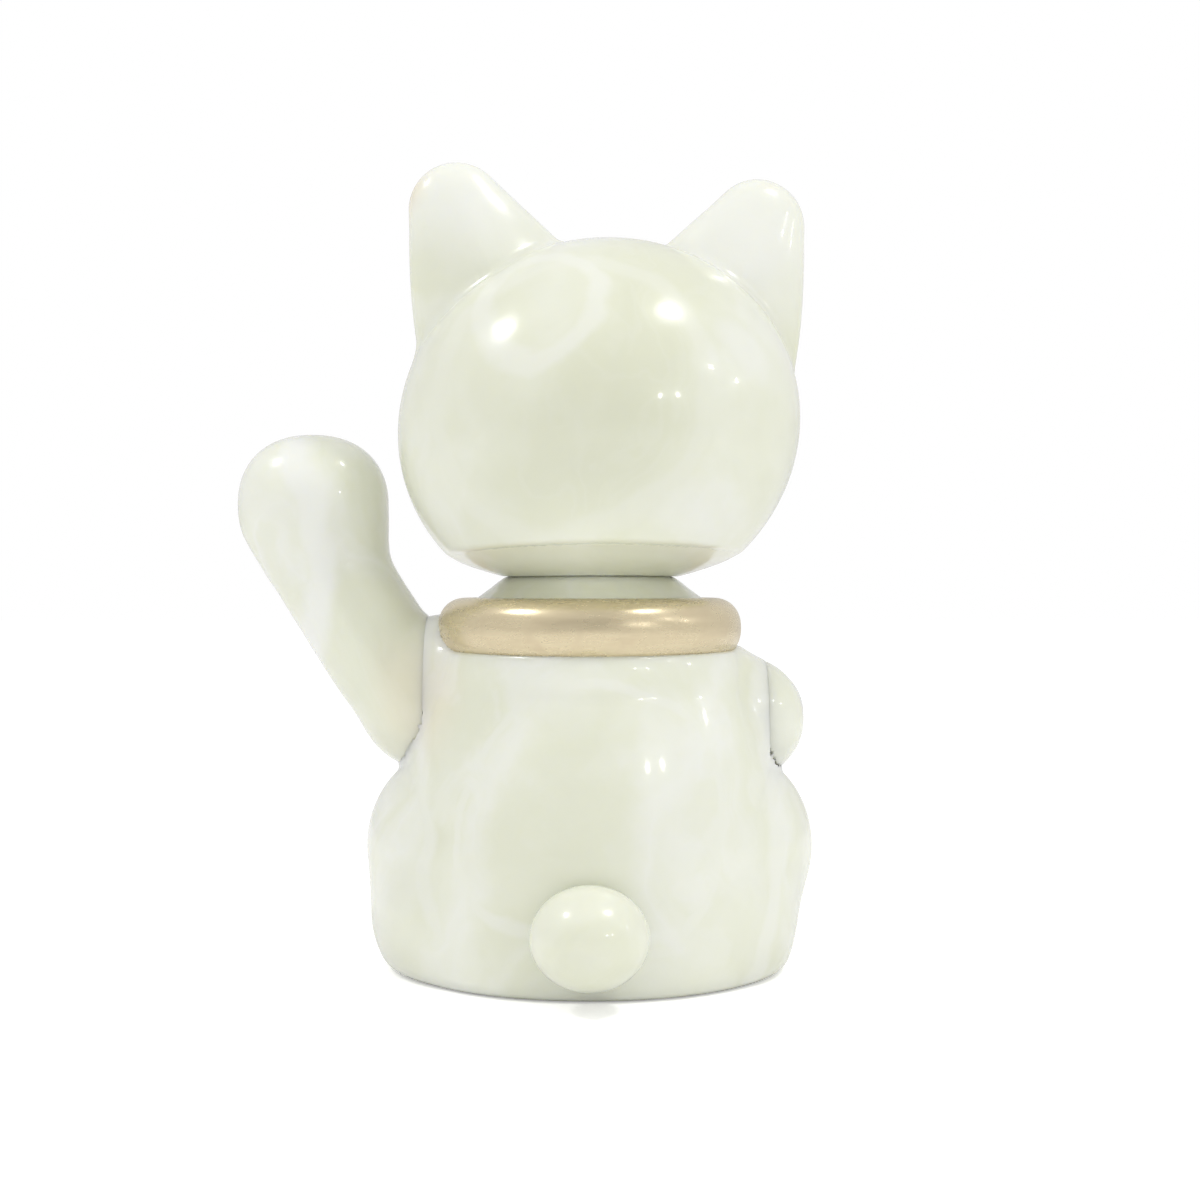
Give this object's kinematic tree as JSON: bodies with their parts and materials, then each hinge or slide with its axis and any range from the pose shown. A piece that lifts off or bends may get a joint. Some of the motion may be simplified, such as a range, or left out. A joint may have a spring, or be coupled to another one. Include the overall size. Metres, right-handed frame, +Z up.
{
  "type": "beckoning cat figurine",
  "caption": "Seated hollow vinyl cat with one raised paw, a ring collar with a bell, a ball tail, and a head and arms that turn on snap-in plugs.",
  "frame": {"origin": "centre of the flat base, on the neck's vertical axis", "axes": "+Z up, -Y to the cat's front, +X to the side of the raised paw"},
  "size_m": [0.0958, 0.0839, 0.1315],
  "materials": {
    "vinyl": "glossy, faintly marbled and slightly translucent",
    "gold_paint": "glossy metallic gold paint",
    "brass": "polished",
    "steel": "polished",
    "pink_paint": "glossy paint",
    "black_paint": "glossy paint"
  },
  "bodies": {
    "body": {"torso": "vinyl", "base_plug": "vinyl", "collar": "gold_paint", "bell_staple": "brass", "coin": "gold_paint"},
    "head": {"head": "vinyl", "left_eye": "black_paint", "right_eye": "black_paint", "nose": "pink_paint", "mouth": "black_paint", "whiskers": "black_paint", "left_inner_ear": "gold_paint", "right_inner_ear": "gold_paint"},
    "raised_arm": {"left_arm": "vinyl", "left_paw_pads": "pink_paint"},
    "lowered_arm": {"right_arm": "vinyl"},
    "tail": {"tail": "vinyl"},
    "bell": {"bell_loop": "brass", "bell_upper": "brass", "bell_lower": "brass", "bell_pellet": "steel"}
  },
  "joints": [
    {"name": "head_turn", "type": "hinge", "parent": "body", "child": "head", "pos_m": [0, 0, 0.0696], "axis": [0, 0, 1], "continuous": true},
    {"name": "raised_arm_swing", "type": "hinge", "parent": "body", "child": "raised_arm", "pos_m": [0.027, -0.001, 0.044], "axis": [1, 0, 0], "range_deg": [-60, 75]},
    {"name": "lowered_arm_swing", "type": "hinge", "parent": "body", "child": "lowered_arm", "pos_m": [-0.0248, -0.001, 0.0413], "axis": [-1, 0, 0], "range_deg": [0, 15]},
    {"name": "tail_turn", "type": "hinge", "parent": "body", "child": "tail", "pos_m": [0, 0.0284, 0.011], "axis": [0, 1, 0], "continuous": true},
    {"name": "bell_swing", "type": "hinge", "parent": "body", "child": "bell", "pos_m": [0, -0.0269, 0.0544], "axis": [-1, 0, 0], "range_deg": [0, 60]}
  ]
}
